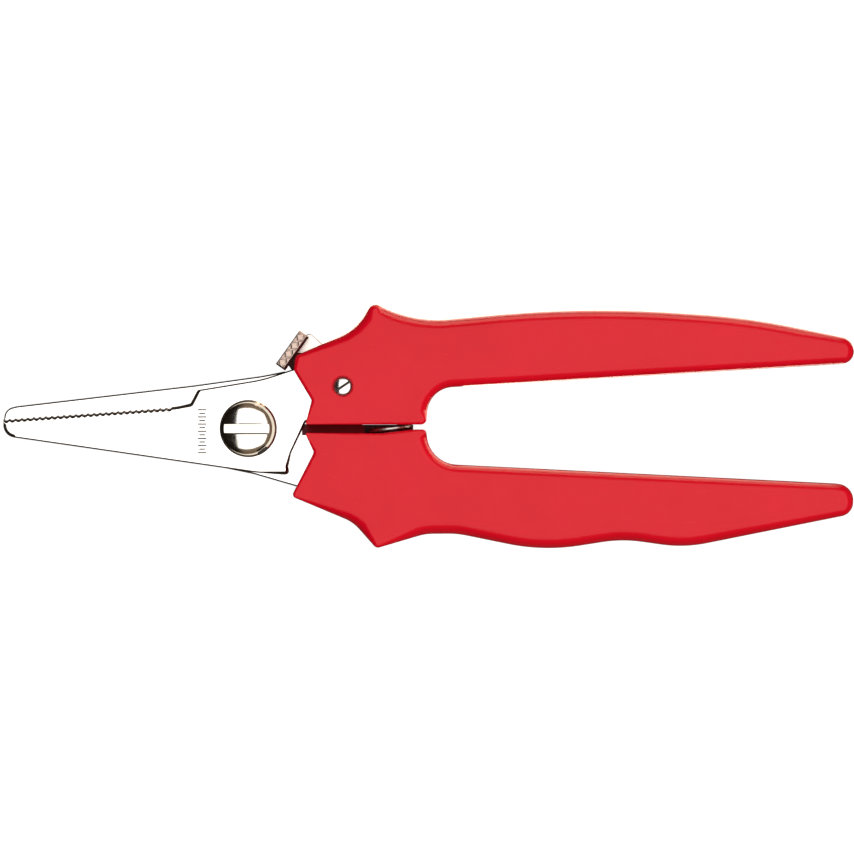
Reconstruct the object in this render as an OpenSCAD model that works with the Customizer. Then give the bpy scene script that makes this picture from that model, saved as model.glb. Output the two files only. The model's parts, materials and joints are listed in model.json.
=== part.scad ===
// Floral snips: two crossing blades, moulded handles, slotted pivot, thumb latch and opening spring.
// The snips lie closed on their handles' back faces, z = 0, with +X towards the handle ends.

/* [Blades] */
// Distance from the pivot to the blade tips
blade_reach = 54.4; // [50:0.2:58]
// Thickness of each blade
blade_t = 2.15; // [1.8:0.05:2.2]
// Distance between two teeth along the cutting edge
tooth_pitch = 1.35; // [1.2:0.05:2]
// Depth of the teeth
tooth_depth = 0.3; // [0.2:0.05:0.6]
// Width of the ground bevel along each cutting edge
bevel_w = 0.9; // [0.6:0.1:1.4]

/* [Handles] */
// Distance from the pivot to the handle ends
handle_reach = 135.5; // [125:0.5:145]
// Thickness of the handles
handle_t = 14; // [14:0.5:17]

/* [Pivot] */
// Diameter of the slotted screw head
head_d = 11.4; // [9:0.1:12]
// Diameter of the screw's shank
shank_d = 6; // [5:0.1:6]
// Outer diameter of the bushing that the back blade turns on
bushing_d = 7; // [6.8:0.1:8]
// Width across the flats of the nut
nut_flats = 10; // [9:0.5:11]

/* [Latch] */
// Thickness of the latch's sheet metal
latch_t = 1.2; // [1:0.1:1.3]
// Height of the top of the thumb tab above the resting plane
tab_top = 13; // [12:0.2:13.4]
// Diameter of the latch screw's head
latch_head_d = 3.9; // [3.4:0.1:4.1]

/* [Spring] */
// Outer diameter of the coil
coil_d = 10; // [8:0.1:10.2]
// Diameter of the spring wire
wire_d = 1.2; // [0.8:0.1:1.4]
// Number of open turns between the closed ends
open_turns = 4; // [3:0.5:5]

/* [Hidden] */

// Colours
steel = [0.82, 0.83, 0.84];
dark_steel = [0.55, 0.56, 0.58];
brass_steel = [0.72, 0.66, 0.55];
red = [0.86, 0.16, 0.20];

// Fits
run = 0.05;          // radial clearance of a turning fit
thread_gap = 0.03;   // radial clearance between a thread and its bore
face_gap = 0.03;     // half the gap between the two blades
slot_room = 0.3;     // room under and beside a sliding plate

// Layers, upwards from the resting plane
mid_z = handle_t / 2;
front_z0 = mid_z + face_gap;
front_z1 = front_z0 + blade_t;
back_z1 = mid_z - face_gap;
back_z0 = back_z1 - blade_t;

// Stations along the blades and the handle arms, as fractions of their length
blade_root = 12.6;
arm_root = 41;
function blade_x(k) = -blade_root - k * (blade_reach - blade_root);
function arm_x(k) = arm_root + k * (handle_reach - arm_root);

// The pivot lies at the drawing origin; the object is then moved to stand over its box centre
box_shift = [(blade_reach - handle_reach) / 2, -0.55, 0];

// Latch and spring stations
latch_at = [21.5, 9.4];
spring_x = 32;
spring_y0 = -7.9;
spring_y1 = 8.9;

// Corner lists: [x, y, corner radius, rounding of the rim], clockwise seen from the front.
// A radius of 0 is a sharp corner.
upper_grip = [
    [13.2, 0.9, 0.4, 0.25], [14.6, 6.3, 1.0, 0.8], [10.6, 13.0, 1.0, 0.8], [10.9, 16.2, 1.5, 1.2],
    [24.3, 22.05, 12, 2.5], [28.2, 28.2, 1.8, 1.5], [37.5, 23.7, 28, 3],
    [arm_x(0.36), 27.2, 260, 3], [arm_x(0.751), 24.8, 150, 3],
    [arm_x(1), 19.85, 3.2, 2.2], [arm_x(1), 14.62, 2.7, 2.2],
    [40.8, 9.0, 6, 2.5], [40.1, 0.9, 1.3, 0.9]
];
lower_grip = [
    [13.1, -0.95, 0.3, 0.2], [30, -1.05, 8, 0.8], [37.5, -0.2, 8, 0.8], [40.1, -0.2, 0.9, 0.6],
    [arm_root, -7.8, 7, 2.5],
    [arm_x(1), -12.5, 3.6, 2.2], [arm_x(0.997), -19.05, 3.2, 2.0],
    [arm_x(0.6), -26.6, 30, 3], [arm_x(0.453), -24.65, 30, 3], [arm_x(0.268), -27.4, 45, 3],
    [arm_x(0.064), -23.45, 20, 3], [40.0, -23.5, 12, 3], [29.0, -26.7, 1.2, 0.9],
    [23.8, -20.9, 9, 2.5], [10.1, -15.1, 0.9, 0.6], [15.1, -5.3, 1.0, 0.8]
];
edge_tip = [blade_x(1), 2.15];
edge_root = [blade_x(0.072), 4.9];
front_body = [
    [edge_root.x, edge_root.y, 14], [-12.6, 5.6, 0.6], [-11.0, 8.6, 0.6], [3.5, 11.0, 30],
    [10.8, 13.4, 3]
];
front_tang = [
    [18, 15, 3], [26, 19, 3], [33, 19.5, 3], [arm_x(0.466), 20, 1.5], [arm_x(0.466), 16, 1.5],
    [44, 13, 3], [38.5, 10.5, 1.5], [25.5, 10.5, 1], [25, 2.8, 1.5], [16, 2.8, 2], [13.2, 1.5, 0.5]
];
front_heel = [
    [9.9, -5.4, 1.2], [9.2, -8.6, 1.0], [9.8, -10.4, 0.9], [2, -9.85, 30],
    [blade_x(1.003), -1.65, 2.8]
];
hidden_tip = [blade_x(1), 1.1];
hidden_root = [blade_x(0.072), 3.6];
back_body = [
    [blade_x(0.998), 4.3, 2.4], [blade_x(0.933), 5.0, 3], [-12.0, 9.65, 30], [3.5, 11.8, 30],
    [8.9, 12.9, 0.7], [9.4, 9.5, 0.8]
];
back_tang = [
    [17, 2.5, 3], [25.8, 1.8, 1], [25.8, -10.5, 1.5], [38, -10.5, 1.5], [44, -12.5, 3],
    [arm_x(0.466), -15.5, 1.5], [arm_x(0.466), -19, 1.5], [34, -19, 3], [26, -18.5, 3], [18, -14.8, 3]
];
back_heel = [
    [10.8, -12.9, 3], [1.5, -10.2, 20], [-11, -7.6, 0.8], [-12.6, 3.3, 1],
    [hidden_root.x, hidden_root.y, 5], [hidden_tip.x, hidden_tip.y, 0.3]
];
latch_plate = [
    [8.8, 14.8, 0.2], [13.4, 21.1, 0.3], [14.3, 21.2, 0.4], [16.9, 18.9, 1.0], [24.8, 12.0, 3.5],
    [20, 5.6, 3.5], [10.5, 12.4, 0.5]
];

// Rounded outlines -----------------------------------------------------------------------------
arc_step = 7;      // largest turn between two points of a corner's arc, degrees
arc_chord = 5;     // longest chord of an arc
rim_steps = 4;     // steps of the rounding between a face and the side
face_cut = 0.02;   // depth taken off a rounded slab's shell to make its faces flat
past = 1;          // how far a cutter reaches past the material

function unit(v) = v / norm(v);
function left_of(v) = [-v.y, v.x];
function turned(v, a) = [v.x * cos(a) - v.y * sin(a), v.x * sin(a) + v.y * cos(a)];

// Points of one rounded corner at p between its neighbours a and b: [point, outward normal, rim]
function corner_points(a, p, b) =
    let(
        d1 = unit([p.x - a.x, p.y - a.y]),
        d2 = unit([b.x - p.x, b.y - p.y]),
        turn = atan2(d1.x * d2.y - d1.y * d2.x, d1 * d2),
        side = turn < 0 ? 1 : -1,
        n1 = left_of(d1),
        centre = [p.x, p.y] - d1 * p[2] * tan(abs(turn) / 2) - side * p[2] * n1,
        steps = max(1, ceil(abs(turn) / arc_step), ceil(p[2] * abs(turn) * PI / 180 / arc_chord))
    )
    p[2] == 0
    ? [[[p.x, p.y], n1, 0]]
    : [for (k = [0:steps])
        let(n = turned(n1, turn * k / steps))
        [centre + side * p[2] * n, n, p[3]]];

function outline(c) =
    let(n = len(c))
    [for (i = [0:n - 1]) each corner_points(c[(i + n - 1) % n], c[i], c[(i + 1) % n])];

function outline_xy(c) = [for (q = outline(c)) q[0]];

// Sharp corners of the saw teeth from a to b
function teeth(a, b) =
    let(
        d = unit(b - a),
        count = floor(norm(b - a) / tooth_pitch)
    )
    [for (i = [0:count - 1])
        let(
            peak = a + d * tooth_pitch * i,
            gullet = peak + d * tooth_pitch / 2 - left_of(d) * tooth_depth
        )
        each [[peak.x, peak.y, 0], [gullet.x, gullet.y, 0]]];

// A flat plate with the outline c between two heights
module plate(c, z0, z1) {
    translate([0, 0, z0])
        linear_extrude(z1 - z0)
            polygon(outline_xy(c));
}

// A profile drawn as (outward distance, height), drawn out along the line from a to b
module along(a, b) {
    translate([a.x, a.y, 0])
        rotate([0, 0, atan2(b.y - a.y, b.x - a.x)])
            rotate([90, 0, 90])
                linear_extrude(norm(b - a))
                    children();
}

// A slab with the outline c, whose two rims are rounded by each corner's own rim radius.
// Its shell reaches just past both faces, which are then cut flat.
module soft_slab(c, t) {
    ring = outline(c);
    n = len(ring);
    levels = 2 * rim_steps + 2;
    function turn_at(j) = 90 * (j <= rim_steps ? j : levels - 1 - j) / rim_steps;
    function height(j, rim) =
        let(h = rim * (1 - cos(turn_at(j))) - face_cut)
        j <= rim_steps ? h : t - h;
    points = [
        for (j = [0:levels - 1])
            for (q = ring)
                let(p = q[0] - q[1] * q[2] * (1 - sin(turn_at(j))))
                [p.x, p.y, height(j, q[2])]
    ];
    sides = [
        for (j = [0:levels - 2])
            for (i = [0:n - 1])
                let(
                    k = (i + 1) % n,
                    low = j * n,
                    high = low + n
                )
                each [[low + k, high + k, high + i], [low + k, high + i, low + i]]
    ];
    bottom = [for (i = [n - 1:-1:0]) i];
    top = [for (i = [0:n - 1]) (levels - 1) * n + i];
    intersection() {
        polyhedron(points, concat([bottom], sides, [top]));
        translate([0, -handle_reach / 2, 0])
            cube([handle_reach + past, handle_reach, t]);
    }
}

// Moves a sub-part from the pivot to its place in the object's frame
module placed() {
    translate(box_shift)
        children();
}

// Blades ---------------------------------------------------------------------------------------
front_outline = concat(teeth(edge_tip, edge_root), front_body, front_tang, front_heel);
back_outline = concat(back_body, back_tang, back_heel);
land = 0.35;       // thickness left at the cutting edge
screw_bore = 2.1;  // hole for the latch screw in the front blade

module bevel_cutter(a, b, edge_z, face_z) {
    over = face_z + sign(face_z - edge_z) * past;
    along(a, b)
        polygon([[0, edge_z], [past, edge_z], [past, over], [-bevel_w, over], [-bevel_w, face_z]]);
}

module front_plate() {
    plate(front_outline, front_z0, front_z1);
}

module back_plate() {
    plate(back_outline, back_z0, back_z1);
}

module front_blade() {
    color(steel)
        placed()
            difference() {
                front_plate();
                bevel_cutter(edge_tip, edge_root, front_z0 + land, front_z1);
                translate([0, 0, front_z0 - past])
                    cylinder(d = bushing_d, h = blade_t + 2 * past, $fn = 72);
                translate([latch_at.x, latch_at.y, front_z0 - past])
                    cylinder(d = screw_bore, h = blade_t + 2 * past, $fn = 48);
            }
}

module back_blade() {
    color(steel)
        placed()
            difference() {
                back_plate();
                bevel_cutter(hidden_root, hidden_tip, back_z1 - land, back_z0);
                translate([0, 0, back_z0 - past])
                    cylinder(d = bushing_d + 2 * run, h = blade_t + 2 * past, $fn = 72);
            }
}

// Handles --------------------------------------------------------------------------------------
pocket_d = coil_d + 0.8;
latch_z0 = 5.1 + (handle_t - 14) / 2;
latch_z1 = latch_z0 + latch_t;
cavity_end_r = 4.6;
layer_lap = 0.05;      // the cavities reach this far into the tang's own pocket
// Room for the back blade's heel as it turns out of the upper handle
mouth_slot = [[12, -1], [12, 6.1], [13.9, 6.1], [17.6, 3.2], [28, 2.4], [28, -1]];
// Room for the latch lever through its whole swing
latch_cavity = [[19.03, 5.95], [7.65, 14.1], [8, 24], [26.5, 24], [25.2, 10.5]];

module spring_pocket(y0, y1) {
    translate([spring_x, y0, mid_z])
        rotate([-90, 0, 0])
            cylinder(d = pocket_d, h = y1 - y0, $fn = 72);
}

barrel_head_d = 5.6;
barrel_d = 3.4;
barrel_z0 = 0.8;
barrel_head_t = 1.2;
recess_gap = 0.25;
latch_head_z0 = handle_t - 1.5;

module upper_handle() {
    color(red)
        placed()
            difference() {
                soft_slab(upper_grip, handle_t);
                front_plate();
                translate([0, 0, back_z0 - slot_room])
                    linear_extrude(front_z0 + layer_lap - back_z0 + slot_room)
                        polygon(mouth_slot);
                translate([0, 0, latch_z0 - slot_room])
                    linear_extrude(front_z0 + layer_lap - latch_z0 + slot_room)
                        polygon(latch_cavity);
                translate([latch_at.x, latch_at.y, latch_z0 - slot_room])
                    cylinder(r = cavity_end_r, h = front_z0 + layer_lap - latch_z0 + slot_room, $fn = 72);
                spring_pocket(0, spring_y1 + 0.1);
                latch_fastener_holes();
            }
}

// Recess and hole from the front, counterbore and sleeve hole from the back
module latch_fastener_holes() {
    translate([latch_at.x, latch_at.y, 0]) {
        translate([0, 0, latch_head_z0])
            cylinder(d = latch_head_d + 2 * recess_gap, h = handle_t, $fn = 48);
        translate([0, 0, front_z1 - past])
            cylinder(d = screw_bore, h = handle_t, $fn = 48);
        translate([0, 0, -past])
            cylinder(d = barrel_head_d, h = past + barrel_z0 + barrel_head_t, $fn = 48);
        cylinder(d = barrel_d, h = mid_z, $fn = 48);
    }
}

// The spring's guide peg stands in the lower pocket, up to just below the gap
peg_d = coil_d - 2 * wire_d - 0.8;
peg_y1 = -1.4;
peg_nose = 0.6;

module guide_peg() {
    shank = peg_y1 - peg_nose - spring_y0 + 0.5;
    translate([spring_x, spring_y0 - 0.5, mid_z])
        rotate([-90, 0, 0]) {
            cylinder(d = peg_d, h = shank, $fn = 72);
            translate([0, 0, shank])
                cylinder(d1 = peg_d, d2 = peg_d - 2 * peg_nose, h = peg_nose, $fn = 72);
        }
}

// Two mouldings close the gap between the closed grips: a sloped ledge over the tang, and a lip
// behind the spring
ledge_x0 = 13.4;
ledge_x1 = spring_x - pocket_d / 2 - slot_room;
ledge_t = 0.9;
ledge_edge_t = 0.15;
lip_x1 = 37.2;
lip_z0 = 0.4;
lip_z1 = 1.4;
gap_y0 = -1.6;
gap_w = 2.1;

module gap_mouldings() {
    along([ledge_x0, gap_y0], [ledge_x1, gap_y0])
        polygon([[0, back_z1], [gap_w, back_z1], [gap_w, back_z1 + ledge_edge_t], [0, back_z1 + ledge_t]]);
    along([ledge_x0, gap_y0], [lip_x1, gap_y0])
        translate([0, lip_z0])
            square([gap_w, lip_z1 - lip_z0]);
}

module lower_handle() {
    color(red)
        placed()
            union() {
                difference() {
                    soft_slab(lower_grip, handle_t);
                    back_plate();
                    spring_pocket(spring_y0 - 0.1, 1);
                }
                guide_peg();
                gap_mouldings();
            }
}

// Pivot ----------------------------------------------------------------------------------------
washer_t = 0.5;
washer_d = 12.8;
washer_off = 0.35;     // the lock washer sits off centre by this much, towards the handles
head_z0 = front_z1 + washer_t;
head_t = 1.9;
head_rim = 0.45;
driver_slot_w = 2.3;
driver_slot_depth = 1.0;
nut_t = 3;
spring_gap = 0.6;      // height that the pivot's spring washer fills
nut_z1 = back_z0 - spring_gap;
nut_z0 = nut_z1 - nut_t;

// A screw head on the XY plane with a rounded rim and a driver slot
module slotted_head(d, t, rim, slot_w, slot_depth) {
    profile = [
        [0.01, 0, 0], [0.01, t, 0], [d / 2, t, rim], [d / 2, 0, 0]
    ];
    difference() {
        union() {
            rotate_extrude($fn = 96)
                polygon(outline_xy(profile));
            cylinder(r = d / 4, h = t, $fn = 48);
        }
        translate([-d, -slot_w / 2, t - slot_depth])
            cube([2 * d, slot_w, slot_depth + past]);
    }
}

module pivot_screw() {
    color(brass_steel)
        placed() {
            translate([0, 0, head_z0])
                slotted_head(head_d, head_t, head_rim, driver_slot_w, driver_slot_depth);
            translate([0, 0, nut_z0 - 0.4])
                cylinder(d = shank_d, h = head_z0 - nut_z0 + 0.4 + 0.1, $fn = 72);
        }
}

tab_turn = -54;
tab_w = 2.6;
tab_depth = 0.7;
tab_h = 1.2;

module pivot_lock_washer() {
    color(steel)
        placed()
            difference() {
                translate([0, 0, front_z1])
                    union() {
                        translate([washer_off, 0, 0])
                            cylinder(d = washer_d, h = washer_t, $fn = 96);
                        rotate([0, 0, tab_turn])
                            translate([head_d / 2 + 0.1, -tab_w / 2, 0])
                                cube([tab_depth, tab_w, washer_t + tab_h]);
                    }
                cylinder(d = shank_d + 2 * run, h = handle_t, $fn = 72);
            }
}

module pivot_bushing() {
    color(brass_steel)
        placed()
            translate([0, 0, back_z0])
                difference() {
                    cylinder(d = bushing_d, h = front_z1 - back_z0, $fn = 72);
                    translate([0, 0, -past])
                        cylinder(d = shank_d + 2 * thread_gap, h = handle_t, $fn = 72);
                }
}

// A dished washer that fills the height h between two radii
module dished_washer(r0, r1, h, t) {
    rotate_extrude($fn = 72)
        polygon([[r0, h - t], [r1, 0], [r1, t], [r0, h]]);
}

module pivot_spring_washer() {
    color(dark_steel)
        placed()
            translate([0, 0, nut_z1 + 0.02])
                dished_washer(shank_d / 2 + 0.15, 4.8, spring_gap - 0.04, 0.4);
}

module pivot_nut() {
    color(steel)
        placed()
            translate([0, 0, nut_z0])
                difference() {
                    cylinder(r = nut_flats / 2 / cos(30), h = nut_t, $fn = 6);
                    translate([0, 0, -past])
                        cylinder(d = shank_d + 2 * thread_gap, h = nut_t + 2 * past, $fn = 72);
                }
}

// Latch ----------------------------------------------------------------------------------------
// Foot of the thumb tab, as a line on the outer side of the lever
tab_a = [6.4, 14.55];
tab_b = [11.7, 21.95];
tab_fold = 2.65;       // width of the folded top of the tab
tab_chamfer = 0.6;     // chamfer along the fold's inner edge
knurl_rows = 4;
knurl_w = 0.4;
// The bent sheet: its foot joins the plate, and its top folds in as a knurled thumb rest
tab_profile = [
    [-2.3, latch_z0, 0], [-2.3, latch_z1, 0], [-latch_t, latch_z1, 0.4],
    [-latch_t, tab_top - latch_t, 0.4], [-tab_fold, tab_top - latch_t, 0.1],
    [-tab_fold, tab_top - tab_chamfer, 0.1], [tab_chamfer - tab_fold, tab_top, 0.1],
    [0, tab_top, 0.25], [0, latch_z0, 1.2]
];

module thumb_tab() {
    along(tab_a, tab_b)
        polygon(outline_xy(tab_profile));
}

// Crossed V grooves over the thumb rest
module knurl() {
    length = norm(tab_b - tab_a);
    rest_w = tab_fold - tab_chamfer;
    intersection() {
        along(tab_a, tab_b)
            translate([-rest_w, tab_top - past])
                square([rest_w, 2 * past]);
        translate([tab_a.x, tab_a.y, tab_top])
            rotate([0, 0, atan2(tab_b.y - tab_a.y, tab_b.x - tab_a.x)])
                for (slant = [-45, 45], i = [0:knurl_rows])
                    translate([length * i / knurl_rows, -rest_w / 2, 0])
                        rotate([0, 0, slant])
                            rotate([45, 0, 0])
                                cube([2 * rest_w, knurl_w, knurl_w], center = true);
    }
}

module latch_lever() {
    color(steel)
        placed()
            difference() {
                union() {
                    plate(latch_plate, latch_z0, latch_z1);
                    thumb_tab();
                }
                knurl();
                translate([latch_at.x, latch_at.y, 0])
                    cylinder(d = barrel_d + 2 * run, h = handle_t, $fn = 72);
            }
}

latch_slot_turn = 34;
latch_slot_w = 0.65;
latch_head_t = 1.2;
latch_shank_d = 2;
latch_shank_z0 = barrel_z0 + barrel_head_t + 0.5;

module latch_screw() {
    color(steel)
        placed()
            translate([latch_at.x, latch_at.y, 0]) {
                translate([0, 0, latch_head_z0])
                    rotate([0, 0, latch_slot_turn])
                        slotted_head(latch_head_d, latch_head_t, 0.3, latch_slot_w, 0.6);
                translate([0, 0, latch_shank_z0])
                    cylinder(d = latch_shank_d, h = latch_head_z0 + 0.1 - latch_shank_z0, $fn = 48);
            }
}

module latch_spring_washer() {
    color(dark_steel)
        placed()
            translate([latch_at.x, latch_at.y, latch_z1 + 0.05])
                dished_washer(barrel_d / 2 + 0.1, 3.1, front_z0 - latch_z1 - 0.1, 0.3);
}

module latch_barrel_nut() {
    color(steel)
        placed()
            translate([latch_at.x, latch_at.y, barrel_z0])
                difference() {
                    union() {
                        cylinder(d = barrel_head_d, h = barrel_head_t, $fn = 48);
                        cylinder(d = barrel_d, h = mid_z - barrel_z0, $fn = 48);
                    }
                    translate([0, 0, barrel_head_t + 0.3])
                        cylinder(d = latch_shank_d + 2 * thread_gap, h = handle_t, $fn = 48);
                    translate([-barrel_head_d, -0.4, -past])
                        cube([2 * barrel_head_d, 0.8, past + 0.6]);
                }
}

// Spring ---------------------------------------------------------------------------------------
// The wire's centre line climbs one wire diameter in each closed end turn and evenly between them
end_turns = 1;
ring_sides = 8;
rings_per_turn = 24;
gap_turn = 90;     // the wire crosses the middle of the gap at this angle, at the front of the coil
turns = open_turns + 2 * end_turns;
coil_r = (coil_d - wire_d) / 2;
closed_rise = wire_d * 1.02;
open_rise = (spring_y1 - spring_y0 - wire_d - 2 * end_turns * closed_rise) / open_turns;

function coil_y(s) =
    let(
        low = min(s, end_turns),
        high = max(0, s - turns + end_turns),
        middle = s - low - high
    )
    spring_y0 + wire_d / 2 + (low + high) * closed_rise + middle * open_rise;

// Turns from the coil's low end to the middle of the gap
gap_s = end_turns + (-spring_y0 - wire_d / 2 - end_turns * closed_rise) / open_rise;

function coil_angle(s) = gap_turn + 360 * (gap_s - s);

function coil_centre(s) =
    let(a = coil_angle(s))
    [spring_x + coil_r * cos(a), coil_y(s), mid_z + coil_r * sin(a)];

module opening_spring() {
    last = round(turns * rings_per_turn);
    points = [
        for (i = [0:last])
            let(
                s = i / rings_per_turn,
                a = coil_angle(s),
                outward = [cos(a), 0, sin(a)]
            )
            for (k = [0:ring_sides - 1])
                let(b = 360 * k / ring_sides)
                coil_centre(s) + wire_d / 2 * (outward * cos(b) - [0, sin(b), 0])
    ];
    sides = [
        for (i = [0:last - 1], k = [0:ring_sides - 1])
            let(
                m = (k + 1) % ring_sides,
                low = i * ring_sides,
                high = low + ring_sides
            )
            each [[low + k, low + m, high + m], [low + k, high + m, high + k]]
    ];
    start_cap = [for (k = [ring_sides - 1:-1:0]) k];
    end_cap = [for (k = [0:ring_sides - 1]) last * ring_sides + k];
    color(dark_steel)
        placed()
            polyhedron(points, concat([start_cap], sides, [end_cap]));
}

front_blade();
back_blade();
upper_handle();
lower_handle();
pivot_screw();
pivot_lock_washer();
pivot_bushing();
pivot_spring_washer();
pivot_nut();
latch_lever();
latch_screw();
latch_spring_washer();
latch_barrel_nut();
opening_spring();
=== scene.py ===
"""Floral snips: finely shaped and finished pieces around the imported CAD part."""

import json
import math

import bmesh
import bpy
from mathutils import Matrix, Vector


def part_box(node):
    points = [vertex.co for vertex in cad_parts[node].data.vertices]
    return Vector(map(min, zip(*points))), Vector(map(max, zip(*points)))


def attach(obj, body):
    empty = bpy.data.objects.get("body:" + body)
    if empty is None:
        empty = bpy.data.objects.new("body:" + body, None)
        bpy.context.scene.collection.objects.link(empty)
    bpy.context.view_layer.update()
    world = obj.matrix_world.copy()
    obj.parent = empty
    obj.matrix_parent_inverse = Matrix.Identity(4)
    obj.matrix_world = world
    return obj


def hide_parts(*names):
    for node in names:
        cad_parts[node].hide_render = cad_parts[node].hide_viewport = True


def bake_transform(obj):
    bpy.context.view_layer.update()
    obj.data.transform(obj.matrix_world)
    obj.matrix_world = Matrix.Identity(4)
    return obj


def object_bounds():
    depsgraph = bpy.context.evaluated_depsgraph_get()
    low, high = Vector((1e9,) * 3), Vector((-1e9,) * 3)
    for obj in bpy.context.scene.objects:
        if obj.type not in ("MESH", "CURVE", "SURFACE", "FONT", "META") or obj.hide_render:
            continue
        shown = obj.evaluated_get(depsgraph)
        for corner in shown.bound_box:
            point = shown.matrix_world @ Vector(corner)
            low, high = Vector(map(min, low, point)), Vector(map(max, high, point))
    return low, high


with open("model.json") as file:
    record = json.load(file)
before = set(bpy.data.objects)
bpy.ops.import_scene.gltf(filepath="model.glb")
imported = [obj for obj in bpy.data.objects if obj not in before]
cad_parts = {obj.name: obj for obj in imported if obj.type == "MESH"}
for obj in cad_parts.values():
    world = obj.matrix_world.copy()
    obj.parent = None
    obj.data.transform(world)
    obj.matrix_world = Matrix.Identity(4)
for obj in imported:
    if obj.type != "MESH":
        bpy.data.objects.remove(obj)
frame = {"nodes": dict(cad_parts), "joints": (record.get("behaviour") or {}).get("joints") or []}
cad_low, cad_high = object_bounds()

# Frame -------------------------------------------------------------------------------------------
# Shapes are drawn in millimetres with the blades' pivot at the origin, as in the CAD source.
MM = 0.001
joints = {j["name"]: j for j in frame["joints"]}
pivot = Vector(joints["blade_pivot"]["pos_m"])
latch_pivot = Vector(joints["latch_pivot"]["pos_m"])
to_frame = Matrix.Translation((pivot.x, pivot.y, 0)) @ Matrix.Scale(MM, 4)


def low_z(node):
    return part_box(node)[0].z / MM


def high_z(node):
    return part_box(node)[1].z / MM


def drawn(point):
    """A point of the frame, in metres, as drawn."""
    return (Vector(point) - Vector((pivot.x, pivot.y, 0))) / MM


HANDLE_T = high_z("upper_handle")
MID_Z = HANDLE_T / 2
FRONT_Z0, FRONT_Z1 = low_z("front_blade"), high_z("front_blade")
BACK_Z0, BACK_Z1 = low_z("back_blade"), high_z("back_blade")
LATCH_Z0, TAB_TOP = low_z("latch_lever"), high_z("latch_lever")
LATCH_T = 1.2
LATCH_Z1 = LATCH_Z0 + LATCH_T
LATCH_AT = drawn(latch_pivot).xy
WASHER_T = 0.5
HEAD_Z0 = FRONT_Z1 + WASHER_T    # the seat of the big screw's head
RECESS_Z = HANDLE_T - 1.5        # the seat of the latch's screw
SLOT_W = 2.3
LATCH_SLOT_DEPTH = 0.6
RUNNING_ROOM = 0.05              # radial clearance of a running fit

# Stations along the blades and the handle arms, as fractions of their length
BLADE_ROOT = 12.6
ARM_ROOT = 41
BLADE_REACH = -drawn(cad_low).x - 0.05
HANDLE_REACH = drawn(cad_high).x


def blade_x(k):
    return -BLADE_ROOT - k * (BLADE_REACH - BLADE_ROOT)


def arm_x(k):
    return ARM_ROOT + k * (HANDLE_REACH - ARM_ROOT)


# Corner lists: (x, y, corner radius, rounding or break of the edge), clockwise seen from the front
UPPER_GRIP = [
    (13.2, 0.9, 0.4, 0.25), (14.6, 6.3, 1.0, 0.8), (10.6, 13.0, 1.0, 0.8), (10.9, 16.2, 1.5, 1.2),
    (24.3, 22.05, 12, 2.5), (28.2, 28.2, 1.8, 1.5), (37.5, 23.7, 28, 3),
    (arm_x(0.36), 27.2, 260, 3), (arm_x(0.751), 24.8, 150, 3),
    (arm_x(1), 19.85, 3.2, 2.2), (arm_x(1), 14.62, 2.7, 2.2),
    (40.8, 9.0, 6, 2.5), (40.1, 0.9, 1.3, 0.9),
]
LOWER_GRIP = [
    (13.1, -0.95, 0.3, 0.2), (30, -1.05, 8, 0.8), (37.5, -0.2, 8, 0.8), (40.1, -0.2, 0.9, 0.6),
    (ARM_ROOT, -7.8, 7, 2.5),
    (arm_x(1), -12.5, 3.6, 2.2), (arm_x(0.997), -19.05, 3.2, 2.0),
    (arm_x(0.6), -26.6, 30, 3), (arm_x(0.453), -24.65, 30, 3), (arm_x(0.268), -27.385, 45, 3),
    (arm_x(0.064), -23.45, 20, 3), (40.0, -23.5, 12, 3), (29.0, -26.7, 1.2, 0.9),
    (23.8, -20.9, 9, 2.5), (10.1, -15.1, 0.9, 0.6), (15.1, -5.3, 1.0, 0.8),
]
EDGE_TIP = Vector((blade_x(1), 2.15))
EDGE_ROOT = Vector((blade_x(0.072), 4.9))
BREAK = 0.34         # width of the broken edges of the blades
SOFT_BREAK = 0.75    # the same round the tip
FRONT_BODY = [
    (*EDGE_ROOT, 14, 0.65), (-12.6, 5.6, 0.6, 0.75), (-11.0, 8.6, 0.6, 0.7), (-10.3, 8.72, 0, BREAK),
    (3.5, 11.0, 30, BREAK), (10.8, 13.4, 3, BREAK),
]
FRONT_TANG = [
    (18, 15, 3, 0), (26, 19, 3, 0), (33, 19.5, 3, 0), (arm_x(0.466), 20, 1.5, 0),
    (arm_x(0.466), 16, 1.5, 0), (44, 13, 3, 0), (38.5, 10.5, 1.5, 0), (25.5, 10.5, 1, 0),
    (25, 2.8, 1.5, 0), (16, 2.8, 2, 0), (13.2, 1.5, 0.5, 0.45),
]
FRONT_HEEL = [
    (9.9, -5.4, 1.2, 0.35), (9.2, -8.6, 1.0, 0.6), (9.8, -10.4, 0.9, 0.75), (2, -9.85, 30, BREAK),
    (blade_x(0.935), -2.06, 0, BREAK), (blade_x(1.003), -1.65, 2.8, SOFT_BREAK),
]
HIDDEN_TIP = Vector((blade_x(1), 1.1))
HIDDEN_ROOT = Vector((blade_x(0.072), 3.6))
BACK_BODY = [
    (blade_x(0.998), 4.3, 2.4, BREAK), (blade_x(0.933), 5.0, 3, BREAK), (-12.0, 9.65, 30, BREAK),
    (3.5, 11.8, 30, BREAK), (8.9, 12.9, 0.7, BREAK), (9.4, 9.5, 0.8, BREAK),
]
BACK_TANG = [
    (17, 2.5, 3, 0), (25.8, 1.8, 1, 0), (25.8, -10.5, 1.5, 0), (38, -10.5, 1.5, 0),
    (44, -12.5, 3, 0), (arm_x(0.466), -15.5, 1.5, 0), (arm_x(0.466), -19, 1.5, 0),
    (34, -19, 3, 0), (26, -18.5, 3, 0), (18, -14.8, 3, 0),
]
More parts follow.
